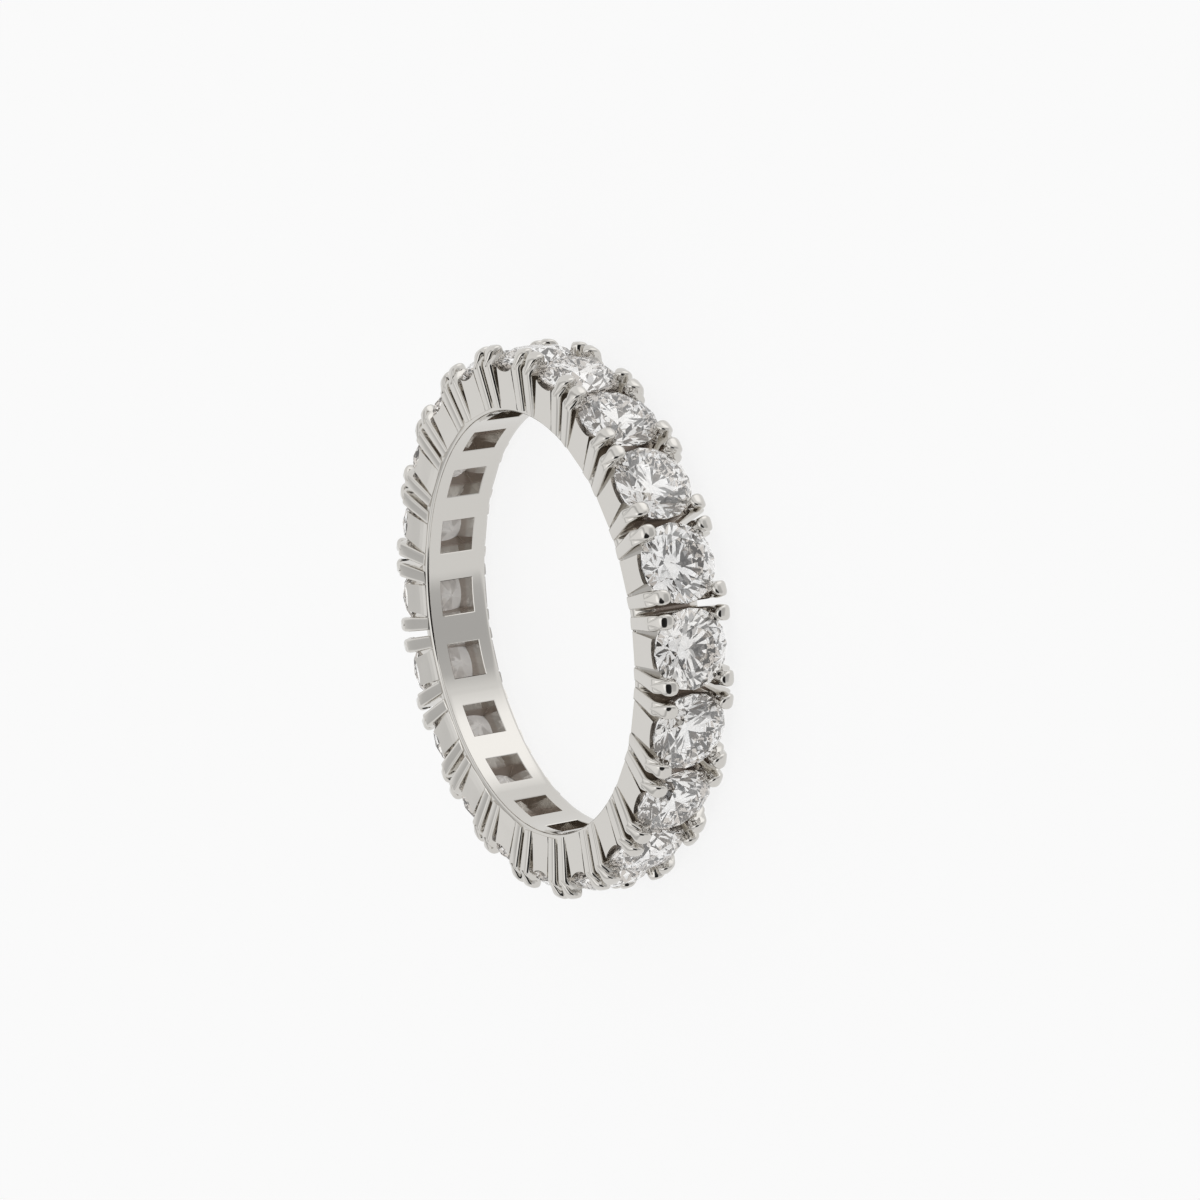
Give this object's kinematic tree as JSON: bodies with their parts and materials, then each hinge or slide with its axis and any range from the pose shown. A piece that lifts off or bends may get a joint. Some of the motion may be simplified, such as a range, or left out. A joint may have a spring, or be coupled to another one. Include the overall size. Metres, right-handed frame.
{
  "type": "diamond wedding band",
  "caption": "Full eternity band in white metal: a circle of round brilliants, each in a claw-and-box setting with flared side panels, open slits between settings and a window behind the stone.",
  "frame": {"origin": "on the axis of the finger hole, at the surface that the lower claws lie on", "axes": "+Z along the axis of the finger hole, +X through the middle of the first stone"},
  "size_m": [0.0226, 0.0226, 0.0036],
  "materials": {
    "white_metal": "polished",
    "diamond": "faceted and polished"
  },
  "bodies": {
    "root": {"band": "white_metal", "stone_01": "diamond", "stone_02": "diamond", "stone_03": "diamond", "stone_04": "diamond", "stone_05": "diamond", "stone_06": "diamond", "stone_07": "diamond", "stone_08": "diamond", "stone_09": "diamond", "stone_10": "diamond", "stone_11": "diamond", "stone_12": "diamond", "stone_13": "diamond", "stone_14": "diamond", "stone_15": "diamond", "stone_16": "diamond", "stone_17": "diamond", "stone_18": "diamond", "stone_19": "diamond", "stone_20": "diamond"}
  },
  "joints": []
}
